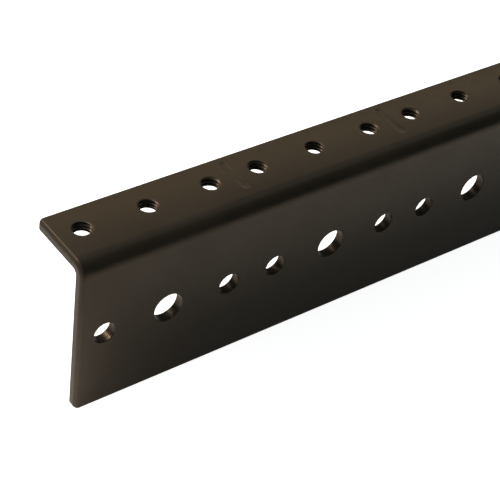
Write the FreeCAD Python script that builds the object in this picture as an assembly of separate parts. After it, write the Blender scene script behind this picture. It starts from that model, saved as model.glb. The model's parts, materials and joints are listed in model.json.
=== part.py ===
import FreeCAD, Part
import math
import os

# Rack mounting rail: one length of steel sheet, folded into an angle.
# The wide fixing flange stands upright and the narrow panel flange lies on top of it.
# +X runs along the rail and +Z is up. The origin is at mid-length, on the outer face of the
# fixing flange, level with its row of holes. All sizes are in millimetres.

# Rack spacing
RACK_UNIT = 44.45  # height of one rack unit
UNITS = 4  # rack units along the rail
HOLE_PITCH = 15.875  # from hole to hole inside a unit

# Folded sheet
SHEET = 2.5  # steel thickness
BEND_INSIDE = 1.2  # inside radius of the fold
FIXING_WIDTH = 40.5  # from the panel face down to the fixing flange's free edge
PANEL_WIDTH = 17.85  # from the fixing face to the panel flange's free edge
CORNER_ROUND = 1.2  # free corners of both flanges, seen square on
OUTER_BREAK = 0.55  # 45 degree break along the cut edges of the outer face
INNER_BREAK = 0.1  # the same, on the inner face

# Rows of holes
TAPPED_ROW = 7.1  # tapped holes, from the panel flange's free edge
FIXING_ROW = 20.3  # fixing holes, from the panel face

# Tapped holes, with a countersunk mouth on both faces
TAP_DRILL = 4.04  # bore that the thread is cut in
MOUTH_RING = 0.25  # width of the countersink round the bore
MOUTH_ANGLE = 120.0  # countersink, side to side, in degrees

# Fixing holes: a small, a large and a small one in each unit
SMALL_HOLE = 5.2
LARGE_HOLE = 7.2
RIM_RING = 0.1  # width of the broken rim round each hole, on both faces
RIM_ANGLE = 90.0  # broken rim, side to side, in degrees

# Coined line across the panel face at every unit line between the ends
MARK_WIDTH = 2.0
MARK_DEPTH = 0.15
MARK_START = 2.0  # from the fold to the line
MARK_LENGTH = 10.2

# Sizes that follow
LENGTH = UNITS * RACK_UNIT
BEND_OUTSIDE = BEND_INSIDE + SHEET
PANEL_FACE_Z = FIXING_ROW
FREE_EDGE_Z = FIXING_ROW - FIXING_WIDTH
TAPPED_ROW_Y = PANEL_WIDTH - TAPPED_ROW

X_AXIS = FreeCAD.Vector(1, 0, 0)
Y_AXIS = FreeCAD.Vector(0, 1, 0)
Z_AXIS = FreeCAD.Vector(0, 0, 1)


def fold_arc(start, end, centre, radius):
    """Quarter turn of the fold, bulging up and outwards from its centre."""
    middle = centre + (Z_AXIS - Y_AXIS) * (radius / math.sqrt(2))
    return Part.Arc(start, middle, end).toShape()


def folded_sheet():
    """The angle as folded: two flats joined by a bend of even thickness, run along X."""
    def place(y, z):
        return FreeCAD.Vector(-LENGTH / 2, y, z)

    inner_z = PANEL_FACE_Z - SHEET
    centre = place(BEND_OUTSIDE, PANEL_FACE_Z - BEND_OUTSIDE)
    foot_outer = place(0, FREE_EDGE_Z)
    fold_outer = place(0, centre.z)
    top_outer = place(centre.y, PANEL_FACE_Z)
    tip_outer = place(PANEL_WIDTH, PANEL_FACE_Z)
    tip_inner = place(PANEL_WIDTH, inner_z)
    top_inner = place(centre.y, inner_z)
    fold_inner = place(SHEET, centre.z)
    foot_inner = place(SHEET, FREE_EDGE_Z)
    outline = Part.Wire([
        Part.makeLine(foot_outer, fold_outer),
        fold_arc(fold_outer, top_outer, centre, BEND_OUTSIDE),
        Part.makeLine(top_outer, tip_outer),
        Part.makeLine(tip_outer, tip_inner),
        Part.makeLine(tip_inner, top_inner),
        fold_arc(top_inner, fold_inner, centre, BEND_INSIDE),
        Part.makeLine(fold_inner, foot_inner),
        Part.makeLine(foot_inner, foot_outer),
    ])
    return Part.Face(outline).extrude(X_AXIS * LENGTH)


def same(first, second):
    """True for two numbers that differ by no more than rounding does."""
    return math.isclose(first, second, abs_tol=1e-6)


def is_free_corner(edge):
    """True for the four short edges through the sheet at the ends of its free edges."""
    middle = edge.CenterOfMass
    at_tip = same(middle.y, PANEL_WIDTH)
    at_foot = same(middle.z, FREE_EDGE_Z)
    return same(abs(middle.x), LENGTH / 2) and (at_tip or at_foot)


def is_sharp(shape, edge):
    """True where the two faces beside an edge meet at an angle, as at the sheet's cut sides."""
    middle = edge.valueAt((edge.FirstParameter + edge.LastParameter) / 2)
    normals = []
    for face in shape.ancestorsOfType(edge, Part.Face):
        u, v = face.Surface.parameter(middle)
        normals.append(face.normalAt(u, v))
    return not same(normals[0].dot(normals[1]), 1)


def is_inner(edge):
    """True for an edge in the hollow of the angle, on the inner face of the sheet."""
    middle = edge.valueAt((edge.FirstParameter + edge.LastParameter) / 2)
    return middle.y > SHEET - INNER_BREAK and middle.z < PANEL_FACE_Z - SHEET + INNER_BREAK


def finish_edges(sheet):
    """Rounds the free corners, then breaks the edges round the sheet's outer and inner faces."""
    corners = [edge for edge in sheet.Edges if is_free_corner(edge)]
    shape = sheet.makeFillet(CORNER_ROUND, corners)
    for inner, size in ((False, OUTER_BREAK), (True, INNER_BREAK)):
        sharp = [edge for edge in shape.Edges if is_sharp(shape, edge)]
        shape = shape.makeChamfer(size, [edge for edge in sharp if is_inner(edge) == inner])
    return shape


def unit_line(count):
    """Place along X of the line that many rack units from the rail's left end."""
    return (count - UNITS / 2) * RACK_UNIT


def hole(mouth, inwards, diameter, ring, angle):
    """Cutter for a hole through the sheet that opens into a cone at both faces."""
    radius = diameter / 2
    depth = ring / math.tan(math.radians(angle / 2))
    places = [
        (0, 0),
        (radius + ring, 0),
        (radius, depth),
        (radius, SHEET - depth),
        (radius + ring, SHEET),
        (0, SHEET),
        (0, 0),
    ]
    profile = Part.makePolygon([mouth + X_AXIS * out + inwards * along for out, along in places])
    return Part.Face(profile).revolve(mouth, inwards, 360)


def tapped_hole(x):
    mouth = FreeCAD.Vector(x, TAPPED_ROW_Y, PANEL_FACE_Z)
    return hole(mouth, -Z_AXIS, TAP_DRILL, MOUTH_RING, MOUTH_ANGLE)


def fixing_hole(x, diameter):
    mouth = FreeCAD.Vector(x, 0, PANEL_FACE_Z - FIXING_ROW)
    return hole(mouth, Y_AXIS, diameter, RIM_RING, RIM_ANGLE)


def unit_holes(unit):
    """Cutters for one rack unit: three tapped holes, and a fixing hole level with each."""
    middle = unit_line(unit + 0.5)
    cutters = []
    for step, diameter in ((-1, SMALL_HOLE), (0, LARGE_HOLE), (1, SMALL_HOLE)):
        x = middle + step * HOLE_PITCH
        cutters += [tapped_hole(x), fixing_hole(x, diameter)]
    return cutters


def unit_mark(x):
    """Cutter for a coined line: a shallow trough across the panel face, with round ends."""
    radius = (MARK_WIDTH ** 2 / 4 + MARK_DEPTH ** 2) / (2 * MARK_DEPTH)
    height = PANEL_FACE_Z + radius - MARK_DEPTH
    near = FreeCAD.Vector(x, BEND_OUTSIDE + MARK_START + MARK_WIDTH / 2, height)
    far = near + Y_AXIS * (MARK_LENGTH - MARK_WIDTH)
    trough = Part.makeCylinder(radius, far.y - near.y, near, Y_AXIS)
    ends = [Part.makeSphere(radius, centre, X_AXIS) for centre in (near, far)]
    return trough.fuse(ends)


def rack_rail():
    cutters = []
    for unit in range(UNITS):
        cutters += unit_holes(unit)
    for count in range(1, UNITS):
        cutters.append(unit_mark(unit_line(count)))
    return finish_edges(folded_sheet()).cut(cutters).Solids[0]


os.makedirs("parts", exist_ok=True)
rack_rail().exportStep("parts/rack_rail.step")
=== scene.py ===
import collections
import json
import math

import bpy
import numpy as np
from mathutils import Matrix, Vector


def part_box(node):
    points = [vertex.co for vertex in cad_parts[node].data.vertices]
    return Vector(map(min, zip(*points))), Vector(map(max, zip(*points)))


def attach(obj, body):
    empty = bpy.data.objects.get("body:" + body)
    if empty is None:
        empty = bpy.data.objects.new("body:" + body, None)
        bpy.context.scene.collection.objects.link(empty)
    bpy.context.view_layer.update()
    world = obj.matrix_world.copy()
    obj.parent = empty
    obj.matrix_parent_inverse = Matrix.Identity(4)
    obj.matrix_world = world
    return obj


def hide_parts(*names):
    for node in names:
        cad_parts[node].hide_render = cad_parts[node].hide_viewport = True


# Rack mounting rail: one length of steel sheet, punched, tapped, coined and folded into an angle,
# in a satin black coat.
# The sheet is laid out as a flat blank first, then folded. A place in the blank is x along the
# rail, s across the sheet from the fixing flange's free edge to the panel flange's, and d into
# the sheet from its outer face. Everything is in metres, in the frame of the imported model.

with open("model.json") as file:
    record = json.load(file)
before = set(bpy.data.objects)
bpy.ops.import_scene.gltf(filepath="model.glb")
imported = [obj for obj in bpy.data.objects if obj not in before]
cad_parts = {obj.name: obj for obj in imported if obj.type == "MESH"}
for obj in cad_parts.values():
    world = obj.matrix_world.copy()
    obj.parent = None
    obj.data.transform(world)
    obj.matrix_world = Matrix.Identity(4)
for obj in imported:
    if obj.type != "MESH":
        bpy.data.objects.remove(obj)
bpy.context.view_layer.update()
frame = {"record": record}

MM = 0.001
RAIL = "rack_rail"
rail_low, rail_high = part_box(RAIL)

# Folded sheet
SHEET = 2.5 * MM  # steel thickness
BEND_OUTSIDE = 3.7 * MM  # outside radius of the fold
CORNER_ROUND = 1.2 * MM  # free corners of both flanges, seen square on
OUTER_BREAK = 0.55 * MM  # 45 degree break along the cut edges of the outer face
CREST_SOFT = 0.45 * MM  # radius between that break and the outer face
SIDE_SOFT = 1.3 * MM  # radius between that break and the cut side
INNER_BREAK = 0.1 * MM  # 45 degree break along the cut edges of the inner face
INNER_SOFT = 0.1 * MM  # radius on both sides of that break
HALF_LENGTH = rail_high.x
FOOT_Z = rail_low.z
PANEL_Z = rail_high.z
BEND_START = PANEL_Z - BEND_OUTSIDE - FOOT_Z
BEND_END = BEND_START + BEND_OUTSIDE * math.pi / 2
BLANK_WIDTH = BEND_END + rail_high.y - BEND_OUTSIDE
TANGENT = math.tan(math.pi / 8)  # from a 45 degree corner to its round's start, for radius 1
EDGE_INSET = OUTER_BREAK + CREST_SOFT * TANGENT  # where the flat faces end
CORNER_REACH = CORNER_ROUND - EDGE_INSET  # radius of the flat faces' own corners

# Fixing holes
RIM_BREAK = 0.1 * MM  # 45 degree break at both mouths
RIM_SOFT = 0.1 * MM  # radius on both sides of that break

# Tapped holes
MOUTH_RING = 0.25 * MM  # width of the countersink round the bore, on both faces
MOUTH_SLOPE = math.radians(30)  # countersink, from the face of the sheet
LIP_REACH = 0.25 * MM  # how far the countersink's soft lip reaches into the face
THREAD_PITCH = 0.794 * MM
THREAD_RADIUS = 2.413 * MM  # to the root of the thread
ROOT_FLAT = THREAD_PITCH / 8  # flat along the root of the thread
FLANK_SLOPE = math.tan(math.radians(30))  # along the hole for each step outwards
PHASE_STEP = 0.37  # turn between the thread starts of neighbouring holes

# Coined line across the panel face at every unit line between the ends
RACK_UNIT = 44.45 * MM
MARK_WIDTH = 2.0 * MM
MARK_DEPTH = 0.19 * MM
MARK_START = 2.0 * MM  # from the fold to the line
MARK_LENGTH = 10.2 * MM
MARK_SOFT = 0.03 * MM  # softness of the line's lips

# Fineness of the mesh
CELL = 4.4 * MM  # half side of the square round each hole
CELL_STEPS = 6  # grid steps in half a side of that square
LOOP = 8 * CELL_STEPS  # vertices round a hole
COARSE = 2.2 * MM  # grid step on plain stretches
FINE = 0.22 * MM  # grid step along and across the coined lines
CORNER_STEP = CORNER_REACH / 5  # grid step in the rounded corners
BEND_STEPS = 16  # in the fold
SOFT_STEPS = 4  # in each softened side of a broken edge
WALL_STEPS = 4  # down the cut sides, and down half of a punched hole
LIP_STEPS = 6  # round a countersink's soft lip
THREAD_STEP = 0.05 * MM  # from one loop of vertices to the next, down a tapped hole
SUPPORT = 0.14 * MM  # from a rim to the ring of vertices that keeps the face flat
FACE_WEIGHT = 60  # how strongly large faces set the normals beside them
COLUMN_DIGITS = 7  # decimals of a hole's x that tell one column from another

Hole = collections.namedtuple("Hole", "x s radius tapped")


def find_holes():
    """Every hole's centre in the blank and its bore, from the record's patterns of two holes."""
    found = []
    for mount in frame["record"]["mounts"]:
        if mount["kind"] != "bolt_pattern":
            continue
        x, y, z = mount["pos_m"]
        tapped = mount["axis"][2] > 0
        s = BEND_END + y - BEND_OUTSIDE if tapped else z - FOOT_Z
        offset = mount["dims"]["spacing_x_mm"] * MM / 2
        radius = mount["dims"]["hole_r_mm"] * MM
        found += [Hole(x + side * offset, s, radius, tapped) for side in (-1, 1)]
    return sorted(found)


def fold(places):
    """Places in the blank, folded into the angle."""
    x, s, d = places.T
    turn = np.clip((s - BEND_START) / BEND_OUTSIDE, 0, math.pi / 2)
    radius = BEND_OUTSIDE - d
    y = BEND_OUTSIDE - radius * np.cos(turn) + np.maximum(s - BEND_END, 0)
    z = PANEL_Z - BEND_OUTSIDE + radius * np.sin(turn) + np.minimum(s - BEND_START, 0)
    return np.column_stack((x, y, z))


class Lines:
    """Grid lines across one direction of the blank."""

    def __init__(self, start):
        self.places = [start]
        self.cells = []

    def run(self, end, step):
        """Evenly spaced lines from the last one to a new end."""
        start = self.places[-1]
        count = max(1, round((end - start) / step))
        self.places += [start + (end - start) * k / count for k in range(1, count + 1)]

    def cell(self, centre):
        """Lines through the square round a hole, each aimed at a vertex of the hole's loop."""
        first = len(self.places) - 1
        for k in range(1 - CELL_STEPS, CELL_STEPS + 1):
            self.places.append(centre + CELL * math.tan(k * math.pi / 4 / CELL_STEPS))
        self.cells.append((first, len(self.places) - 1))


def lines_along(columns, marks):
    """Grid lines along the rail: fine at the ends and where a coined line runs."""
    corner = HALF_LENGTH - CORNER_ROUND
    lines = Lines(EDGE_INSET - HALF_LENGTH)
    lines.run(-corner, CORNER_STEP)
    for column in columns:
        start = lines.places[-1]
        marked = any(start < mark < column for mark in marks)
        lines.run(column - CELL, FINE if marked else COARSE)
        lines.cell(column)
    lines.run(corner, COARSE)
    lines.run(HALF_LENGTH - EDGE_INSET, CORNER_STEP)
    return lines


def lines_across(fixing_row, tapped_row):
    """Grid lines across the sheet: fixing flange, fold and panel flange."""
    lines = Lines(EDGE_INSET)
    lines.run(CORNER_ROUND, CORNER_STEP)
    lines.run(fixing_row - CELL, COARSE)
    lines.cell(fixing_row)
    lines.run(BEND_START, COARSE)
    lines.run(BEND_END, (BEND_END - BEND_START) / BEND_STEPS)
    lines.run(tapped_row - CELL, FINE)
    lines.cell(tapped_row)
    lines.run(BLANK_WIDTH - CORNER_ROUND, FINE)
    lines.run(BLANK_WIDTH - EDGE_INSET, CORNER_STEP)
    return lines


def corner_centre(x, s):
    """Nearest place that is a corner's radius inside the blank's outline."""
    inner_x = np.clip(x, CORNER_ROUND - HALF_LENGTH, HALF_LENGTH - CORNER_ROUND)
    inner_s = np.clip(s, CORNER_ROUND, BLANK_WIDTH - CORNER_ROUND)
    return inner_x, inner_s


def round_corners(x, s):
    """Bends the square patches at the four free corners of the grid into quarter discs."""
    inner_x, inner_s = corner_centre(x, s)
    u = (x - inner_x) / CORNER_REACH
    v = (s - inner_s) / CORNER_REACH
    round_x = inner_x + CORNER_REACH * u * np.sqrt(1 - v * v / 2)
    round_s = inner_s + CORNER_REACH * v * np.sqrt(1 - u * u / 2)
    return round_x, round_s


def mark_depth(x, s, marks):
    """Depth of the coined lines: round troughs with round ends and soft lips."""
    radius = (MARK_WIDTH**2 / 4 + MARK_DEPTH**2) / (2 * MARK_DEPTH)
    first = BEND_END + MARK_START + MARK_WIDTH / 2
    along = s - np.clip(s, first, first + MARK_LENGTH - MARK_WIDTH)
    across = np.min([np.abs(x - mark) for mark in marks], axis=0)
    depth = np.sqrt(np.maximum(radius**2 - along**2 - across**2, 0)) - radius + MARK_DEPTH
    lip = np.clip(depth + MARK_SOFT, 0, 2 * MARK_SOFT) ** 2 / (4 * MARK_SOFT)
    return np.where(depth > MARK_SOFT, depth, lip)


def broken_edge(size, soft, side_soft):
    """Steps of a 45 degree break off the sheet's face, soft on both sides: how far out and deep."""
    turns = [math.pi / 4 * k / SOFT_STEPS for k in range(SOFT_STEPS + 1)]
    inset = size + soft * TANGENT
    drop = size + side_soft * TANGENT
    upper = [(soft * math.sin(turn), soft * (1 - math.cos(turn))) for turn in turns]
    lower = [
        (inset - side_soft * (1 - math.cos(turn)), drop - side_soft * math.sin(turn))
        for turn in reversed(turns)
    ]
    return upper + lower


def through_sheet(mouth):
    """Levels from the outer face to the inner one: the mouth's, and the same ones mirrored."""
    return mouth + [(radius, SHEET - depth) for radius, depth in reversed(mouth)]


def plain_wall(radius):
    """Radius and depth of each loop of vertices down a punched hole."""
    rim = broken_edge(RIM_BREAK, RIM_SOFT, RIM_SOFT)
    reach, top = rim[-1]
    mouth = [(radius + reach - out, depth) for out, depth in rim]
    mouth += [(radius, top + (SHEET / 2 - top) * k / WALL_STEPS) for k in range(1, WALL_STEPS)]
    return through_sheet(mouth)


def thread_radius(radius, turn, depth):
    """Radius of a right-hand thread cut into a bore, at an angle in turns and a depth."""
    crest_flat = THREAD_PITCH - ROOT_FLAT - 2 * (THREAD_RADIUS - radius) * FLANK_SLOPE
    along = (depth / THREAD_PITCH + turn) % 1
    past_crest = np.abs(along - 0.5) * THREAD_PITCH - crest_flat / 2
    return np.clip(radius + past_crest / FLANK_SLOPE, radius, THREAD_RADIUS)


def countersunk_mouth(radius):
    """Radius and depth of each loop of vertices from a face down to the middle of the sheet."""
    lip = LIP_REACH / math.tan(MOUTH_SLOPE / 2)
    start = radius + MOUTH_RING + LIP_REACH
    slopes = [MOUTH_SLOPE * k / LIP_STEPS for k in range(LIP_STEPS + 1)]
    levels = [(start - lip * math.sin(a), lip * (1 - math.cos(a))) for a in slopes]
    top = levels[-1][1]
    for k in range(1, round((SHEET / 2 - top) / THREAD_STEP)):
        depth = top + k * THREAD_STEP
        levels.append((max(radius, radius + MOUTH_RING - depth / math.tan(MOUTH_SLOPE)), depth))
    return levels


def tapped_wall(radius, turns):
    """Radii and depth of each loop of vertices down a countersunk hole, with its thread cut in."""
    bore = through_sheet(countersunk_mouth(radius))
    cut = [
        (np.maximum(out, thread_radius(radius, turns, depth)), depth)
        for out, depth in bore[1:-1]
    ]
    return [bore[0]] + cut + [bore[-1]]


class Blank:
    """Mesh of the flat blank. Loops run anticlockwise round a hole, seen from the outer face."""

    def __init__(self):
        self.places = []
        self.edges = []
        self.faces = []
        self.count = 0

    def add(self, x, s, d, edge=0.0):
        """Adds vertices and gives their numbers. Edge is 1 on a broken edge and 0 on a face."""
        x, s, d, edge = np.broadcast_arrays(x, s, d, edge)
        self.places.append(np.column_stack((x.ravel(), s.ravel(), d.ravel())))
        self.edges.append(edge.ravel())
        numbers = self.count + np.arange(x.size).reshape(x.shape)
        self.count += x.size
        return numbers

    def chain(self, loops):
        """Quads from each closed loop to the next one."""
        for outer, inner in zip(loops, loops[1:]):
            corners = (outer, np.roll(outer, -1), np.roll(inner, -1), inner)
            self.faces.append(np.column_stack(corners))

    def skin(self, along, across, cells, depth, flipped):
        """One face of the sheet: a grid of quads that leaves out the squares round the holes."""
        x, s = np.meshgrid(along.places, across.places, indexing="ij")
        kept = np.ones(x.shape, bool)
        filled = np.ones((x.shape[0] - 1, x.shape[1] - 1), bool)
        for (left, right), (low, high) in cells:
            kept[left + 1:right, low + 1:high] = False
            filled[left:right, low:high] = False
        x, s = round_corners(x, s)
        numbers = np.full(x.shape, -1)
        numbers[kept] = self.add(x[kept], s[kept], depth(x[kept], s[kept]))
        corners = (numbers[:-1, :-1], numbers[1:, :-1], numbers[1:, 1:], numbers[:-1, 1:])
        quads = np.column_stack([corner[filled] for corner in corners])
        self.faces.append(quads[:, ::-1] if flipped else quads)
        return numbers

    def all_places(self):
        """Places of all vertices so far, in one array."""
        return np.concatenate(self.places)


def square_loop(numbers, columns, rows):
    """Grid vertices round a hole's square, from its lower right corner."""
    left, right = columns
    low, high = rows
    return np.concatenate((
        numbers[right, low:high],
        numbers[right:left:-1, high],
        numbers[left, high:low:-1],
        numbers[left:right, low],
    ))


def border_loop(numbers):
    """Grid vertices round the blank, clockwise: its surroundings are treated like a hole."""
    return np.concatenate((
        numbers[0, :-1],
        numbers[:-1, -1],
        numbers[-1, :0:-1],
        numbers[:0:-1, 0],
    ))


def add_hole(blank, hole, outer_square, inner_square, number):
    """Runs both faces up to a hole's rims and lines the hole between them."""
    turns = (np.arange(LOOP) - CELL_STEPS) / LOOP
    out_x = np.cos(turns * 2 * math.pi)
    out_s = np.sin(turns * 2 * math.pi)

    def ring(radius, depth, edge=0.0):
        return blank.add(hole.x + radius * out_x, hole.s + radius * out_s, depth, edge)

    def halfway(square, radius, depth):
        x, s = blank.all_places()[square, :2].T
        middle_x = (x + hole.x + radius * out_x) / 2
        middle_s = (s + hole.s + radius * out_s) / 2
        return blank.add(middle_x, middle_s, depth)

    if hole.tapped:
        levels = tapped_wall(hole.radius, turns + PHASE_STEP * number)
    else:
        levels = plain_wall(hole.radius)
    held = levels[0][0] + SUPPORT
    loops = [outer_square, halfway(outer_square, held, 0.0), ring(held, 0.0)]
    for radius, depth in levels:
        near = min(depth, SHEET - depth)
        loops.append(ring(radius, depth, 1.0 if 0 < near < RIM_BREAK else 0.0))
    loops += [ring(held, SHEET), halfway(inner_square, held, SHEET), inner_square]
    blank.chain(loops)


def add_border(blank, outer, inner):
    """Breaks both faces' edges at the blank's outline and closes the sheet between them."""
    x, s = blank.all_places()[outer, :2].T
    inner_x, inner_s = corner_centre(x, s)
    length = np.hypot(x - inner_x, s - inner_s)
    out_x = (x - inner_x) / length
    out_s = (s - inner_s) / length
    front = broken_edge(OUTER_BREAK, CREST_SOFT, SIDE_SOFT)
    back = broken_edge(INNER_BREAK, INNER_SOFT, INNER_SOFT)
    inset = EDGE_INSET - back[-1][0]
    top, low = front[-1][1], SHEET - back[-1][1]
    side = [(EDGE_INSET, top + (low - top) * k / WALL_STEPS) for k in range(1, WALL_STEPS)]
    levels = front[1:] + side + [(inset + out, SHEET - depth) for out, depth in reversed(back)]
    loops = [outer]
    for out, depth in levels:
        edge = 1.0 if depth < top or depth > low else 0.0
        loops.append(blank.add(x + out * out_x, s + out * out_s, depth, edge))
    blank.chain(loops + [inner])


def rail_mesh():
    """The whole rail as one closed mesh."""
    holes = find_holes()
    columns = sorted({round(hole.x, COLUMN_DIGITS) for hole in holes})
    tapped_row = next(hole.s for hole in holes if hole.tapped)
    fixing_row = next(hole.s for hole in holes if not hole.tapped)
    units = round(2 * HALF_LENGTH / RACK_UNIT)
    marks = [(k - units / 2) * RACK_UNIT for k in range(1, units)]
    along = lines_along(columns, marks)
    across = lines_across(fixing_row, tapped_row)
    cells = [(column, row) for column in along.cells for row in across.cells]

    blank = Blank()
    outer = blank.skin(along, across, cells, lambda x, s: mark_depth(x, s, marks), False)
    inner = blank.skin(along, across, cells, lambda x, s: np.full(x.shape, SHEET), True)
    for number, hole in enumerate(holes):
        column = along.cells[columns.index(round(hole.x, COLUMN_DIGITS))]
        row = across.cells[1 if hole.tapped else 0]
        squares = [square_loop(numbers, column, row) for numbers in (outer, inner)]
        add_hole(blank, hole, *squares, number)
    add_border(blank, border_loop(outer), border_loop(inner))

    mesh = bpy.data.meshes.new(RAIL)
    faces = np.concatenate(blank.faces).tolist()
    mesh.from_pydata(fold(blank.all_places()).tolist(), [], faces)
    edge = mesh.attributes.new("edge", "FLOAT", "POINT")
    edge.data.foreach_set("value", np.concatenate(blank.edges).astype(np.float32))
    mesh.polygons.foreach_set("use_smooth", [True] * len(mesh.polygons))
    mesh.validate()
    mesh.update()
    return mesh


class Nodes:
    """Shorthand for the node tree of a material or of the world."""

    def __init__(self, owner):
        owner.use_nodes = True
        self.tree = owner.node_tree
        self.tree.nodes.clear()

    def add(self, kind, settings=None, **inputs):
        """A node with its settings and inputs: values are set, sockets are linked."""
        node = self.tree.nodes.new(kind)
        for name, value in (settings or {}).items():
            setattr(node, name, value)
        for name, value in inputs.items():
            self.feed(node.inputs[name.replace("_", " ")], value)
        return node

    def feed(self, socket, value):
        """Links an input to another node's output, or sets its value."""
        if isinstance(value, bpy.types.NodeSocket):
            self.tree.links.new(value, socket)
        else:
            socket.default_value = value

    def math(self, operation, first, second):
        """The result of an operation on two values."""
        node = self.add("ShaderNodeMath", {"operation": operation})
        for socket, value in zip(node.inputs, (first, second)):
            self.feed(socket, value)
        return node.outputs[0]

    def spread(self, value, low, high, start, end):
        """From low to high, smoothly, as a value runs from start to end."""
        settings = {"interpolation_type": "SMOOTHSTEP"}
        limits = {"From_Min": start, "From_Max": end, "To_Min": low, "To_Max": high}
        node = self.add("ShaderNodeMapRange", settings, Value=value, **limits)
        return node.outputs["Result"]


# Coat
COAT_DARK = (0.0125, 0.0103, 0.0078, 1)
COAT_PALE = (0.0175, 0.0145, 0.0110, 1)
COAT_SHINE = (1.0, 0.78, 0.58, 1)  # tint of what it mirrors head on
COAT_ROUGHNESS = (0.31, 0.39)  # from cloud to cloud
SPECKLE = 0.03  # how far the grain moves the roughness up and down
EDGE_ROUGHNESS = 0.16  # what a broken edge adds
CLOUD_SCALE = 90.0  # of each noise, for a metre
GRAIN_SCALE = 900.0
PEEL_SCALE = 2400.0
NOISE_RANGE = (0.3, 0.7)  # where most of a noise's values lie
GRAIN_SHARE = 1.5  # of the grain in the bump, for one of the peel
BUMP_STRENGTH = 0.12
BUMP_HEIGHT = 0.02 * MM


def coat_material():
    """Satin black coat: a fine orange peel, faint clouding and rougher edges."""
    material = bpy.data.materials.new("black_coat")
    nodes = Nodes(material)
    place = nodes.add("ShaderNodeTexCoord").outputs["Object"]
    clouds, grain, peel = [
        nodes.add("ShaderNodeTexNoise", Vector=place, Scale=scale, Detail=detail).outputs["Fac"]
        for scale, detail in ((CLOUD_SCALE, 4.0), (GRAIN_SCALE, 3.0), (PEEL_SCALE, 2.0))
    ]
    edge = nodes.add("ShaderNodeAttribute", {"attribute_name": "edge"}).outputs["Fac"]

    shades = {"A": COAT_DARK, "B": COAT_PALE}
    colour = nodes.add("ShaderNodeMix", {"data_type": "RGBA"}, Factor=clouds, **shades)
    mottled = nodes.spread(clouds, *COAT_ROUGHNESS, *NOISE_RANGE)
    speckle = nodes.spread(grain, -SPECKLE, SPECKLE, *NOISE_RANGE)
    worn = nodes.math("MULTIPLY", edge, EDGE_ROUGHNESS)
    roughness = nodes.math("ADD", nodes.math("ADD", mottled, speckle), worn)
    height = nodes.math("ADD", peel, nodes.math("MULTIPLY", grain, GRAIN_SHARE))
    bump = nodes.add("ShaderNodeBump", Height=height, Strength=BUMP_STRENGTH, Distance=BUMP_HEIGHT)
    shader = nodes.add(
        "ShaderNodeBsdfPrincipled",
        Base_Color=colour.outputs["Result"],
        Roughness=roughness,
        Normal=bump.outputs["Normal"],
        Specular_Tint=COAT_SHINE,
    )
    nodes.add("ShaderNodeOutputMaterial", Surface=shader.outputs["BSDF"])
    return material


def rail():
    """The rail, in place of its solid."""
    piece = bpy.data.objects.new("rail_body", rail_mesh())
    bpy.context.scene.collection.objects.link(piece)
    piece.data.materials.append(coat_material())
    normals = piece.modifiers.new("flat faces", "WEIGHTED_NORMAL")
    normals.mode = "FACE_AREA"
    normals.weight = FACE_WEIGHT
    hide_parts(RAIL)
    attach(piece, "root")


# Studio
FLOOR_HALF = 6.0  # half of the floor's side
FLOOR_COLOUR = (0.85, 0.85, 0.84, 1)
FLOOR_WHITE = 0.89  # how much of the floor's white the camera sees apart from the lamps' light
FLOOR_GLOSS = 0.065  # the same, as reflected in the coat
ROOM = 0.05  # dark room round the rail
ROOM_COLOUR = (0.85, 1.0, 1.0, 1)
WHITE = (1, 1, 1, 1)
CEILING_ABOVE = 0.36  # how much paler it is right above the rail
CEILING_BEHIND = 0.12  # and higher up behind it
CEILING_FADE = (-0.10, 0.55)  # Y of the directions between which the one turns into the other
CEILING_RISE = (0.30, 0.70)  # Z of the directions between which the ceiling starts
FRONT = 0.11  # how much paler it is in front, on the left
FRONT_FADE = (-0.15, 0.01)  # Y of the directions between which the front gives way to the ceiling
LEFT_FADE = (0.38, 0.60)  # X of the directions between which the pale left ends
MAIN_DIRECTION = Vector((-0.55, 0.46, 0.70)).normalized()
MAIN_SIZE = (0.12, 0.14)
MAIN_RADIANCE = 76.0
MAIN_COLOUR = (1.0, 0.85, 0.68)
BACK_DIRECTION = Vector((-0.25, 0.48, 0.84)).normalized()
BACK_SIZE = (0.12, 0.38)
BACK_RADIANCE = 24.0
BACK_COLOUR = (1.0, 0.95, 0.90)
LAMP_DISTANCE = 0.9
STRIP_CENTRE = Vector((0.06, 0.025, 0.0331))
STRIP_SIZE = (0.34, 0.0132)
STRIP_TILT = math.radians(0.8)  # its right end is the higher one
STRIP_RADIANCE = 0.65
STRIP_COLOUR = (1.0, 0.77, 0.50)
NEAR_PLACE = Vector((-0.104, -0.014, -0.004))
NEAR_TARGET = Vector((-0.087, -0.003, FOOT_Z))  # the floor at the foot of the rail's near end
NEAR_SIZE = (0.010, 0.010)
NEAR_RADIANCE = 14.0
NEAR_COLOUR = (1.0, 0.86, 0.75)


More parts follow.
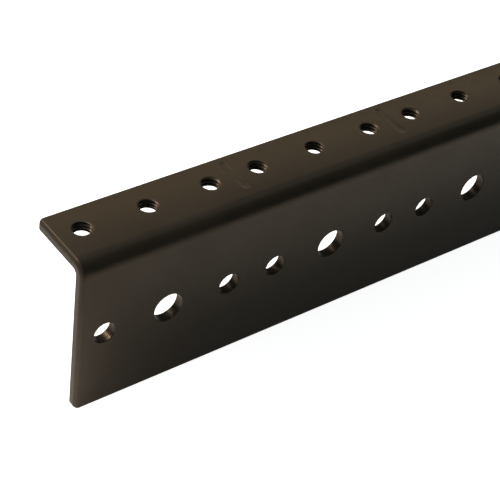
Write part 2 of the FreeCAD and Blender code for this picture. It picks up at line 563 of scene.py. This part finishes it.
def floor():
    """A wide floor under the rail, white to the camera and dim as mirrored in the coat."""
    mesh = bpy.data.meshes.new("floor")
    sides = [(-1, -1), (1, -1), (1, 1), (-1, 1)]
    corners = [(x * FLOOR_HALF, y * FLOOR_HALF, FOOT_Z) for x, y in sides]
    mesh.from_pydata(corners, [], [(0, 1, 2, 3)])
    piece = bpy.data.objects.new("floor", mesh)
    bpy.context.scene.collection.objects.link(piece)
    material = bpy.data.materials.new("pale_floor")
    nodes = Nodes(material)
    path = nodes.add("ShaderNodeLightPath").outputs
    seen = nodes.math("ADD", path["Is Camera Ray"], path["Is Transmission Ray"])
    white = nodes.math("MULTIPLY", seen, FLOOR_WHITE)
    gloss = nodes.math("MULTIPLY", path["Is Glossy Ray"], FLOOR_GLOSS)
    lit = nodes.add("ShaderNodeBsdfDiffuse", Color=FLOOR_COLOUR)
    shown = nodes.add("ShaderNodeEmission", Strength=nodes.math("ADD", white, gloss))
    both = nodes.add("ShaderNodeAddShader")
    nodes.feed(both.inputs[0], lit.outputs[0])
    nodes.feed(both.inputs[1], shown.outputs[0])
    nodes.add("ShaderNodeOutputMaterial", Surface=both.outputs[0])
    mesh.materials.append(material)


def room():
    """White to the camera; to the rail, a dim room that is paler above, behind and on the left."""
    world = bpy.data.worlds.new("room")
    bpy.context.scene.world = world
    nodes = Nodes(world)
    direction = nodes.add("ShaderNodeTexCoord").outputs["Generated"]
    axes = nodes.add("ShaderNodeSeparateXYZ", Vector=direction).outputs
    ceiling = nodes.spread(axes["Y"], CEILING_ABOVE, CEILING_BEHIND, *CEILING_FADE)
    above = nodes.math("MULTIPLY", nodes.spread(axes["Z"], 0.0, 1.0, *CEILING_RISE), ceiling)
    behind = nodes.spread(axes["Y"], 0.0, 1.0, *FRONT_FADE)
    left = nodes.spread(axes["X"], FRONT, 0.0, *LEFT_FADE)
    pale = nodes.add("ShaderNodeMix", Factor=behind, A=left, B=above).outputs["Result"]
    path = nodes.add("ShaderNodeLightPath").outputs
    seen = nodes.math("ADD", path["Is Camera Ray"], path["Is Transmission Ray"])
    strength = nodes.math("MAXIMUM", nodes.math("ADD", pale, ROOM), seen)
    tones = {"A": ROOM_COLOUR, "B": WHITE}
    tone = nodes.add("ShaderNodeMix", {"data_type": "RGBA"}, Factor=seen, **tones)
    background = nodes.add("ShaderNodeBackground", Strength=strength, Color=tone.outputs["Result"])
    nodes.add("ShaderNodeOutputWorld", Surface=background.outputs[0])


def softbox(name, place, turn, size, radiance, colour):
    """An even rectangular lamp of a given radiance that the camera does not see."""
    data = bpy.data.lights.new(name, "AREA")
    data.shape = "RECTANGLE"
    data.size, data.size_y = size
    data.energy = radiance * math.pi * data.size * data.size_y
    data.color = colour
    lamp = bpy.data.objects.new(name, data)
    lamp.matrix_world = Matrix.Translation(place) @ turn
    lamp.visible_camera = False
    bpy.context.scene.collection.objects.link(lamp)
    return lamp


def facing(direction):
    """Turn that points a lamp against a direction."""
    return direction.to_track_quat("Z", "Y").to_matrix().to_4x4()


def lamps():
    """A strong lamp high on the left, a softbox behind the rail, a low strip right behind it, and a
    small lamp for the floor by the rail's near end."""
    for name, direction, size, radiance, colour in (
        ("main", MAIN_DIRECTION, MAIN_SIZE, MAIN_RADIANCE, MAIN_COLOUR),
        ("back", BACK_DIRECTION, BACK_SIZE, BACK_RADIANCE, BACK_COLOUR),
    ):
        softbox(name, direction * LAMP_DISTANCE, facing(direction), size, radiance, colour)
    turn = Matrix.Rotation(-STRIP_TILT, 4, "Y") @ Matrix.Rotation(-math.pi / 2, 4, "X")
    softbox("strip", STRIP_CENTRE, turn, STRIP_SIZE, STRIP_RADIANCE, STRIP_COLOUR)
    turn = facing(NEAR_PLACE - NEAR_TARGET)
    near = softbox("near", NEAR_PLACE, turn, NEAR_SIZE, NEAR_RADIANCE, NEAR_COLOUR)
    near.visible_glossy = False  # the coat mirrors the lit floor and not the lamp


# Camera, fitted to the rows of holes and the outline in the photo
CAMERA_PLACE = Vector((-209.93, -183.37, 212.68)) * MM
CAMERA_AZIMUTH = math.radians(-41.74)
CAMERA_ELEVATION = math.radians(39.804)
CAMERA_ROLL = math.radians(8.729)
CAMERA_LENS = 106.66
CAMERA_SENSOR = 36.0
CAMERA_NEAREST = 0.01  # nothing closer than this is shown


def camera():
    data = bpy.data.cameras.new("camera")
    data.sensor_width = CAMERA_SENSOR
    data.lens = CAMERA_LENS
    data.clip_start = CAMERA_NEAREST
    level = Matrix.Rotation(CAMERA_AZIMUTH, 4, "Z")
    tilt = Matrix.Rotation(math.pi / 2 - CAMERA_ELEVATION, 4, "X")
    roll = Matrix.Rotation(CAMERA_ROLL, 4, "Z")
    view = bpy.data.objects.new("camera", data)
    view.matrix_world = Matrix.Translation(CAMERA_PLACE) @ level @ tilt @ roll
    bpy.context.scene.collection.objects.link(view)
    bpy.context.scene.camera = view


rail()
floor()
room()
lamps()
camera()
bpy.context.scene.view_settings.view_transform = "Standard"
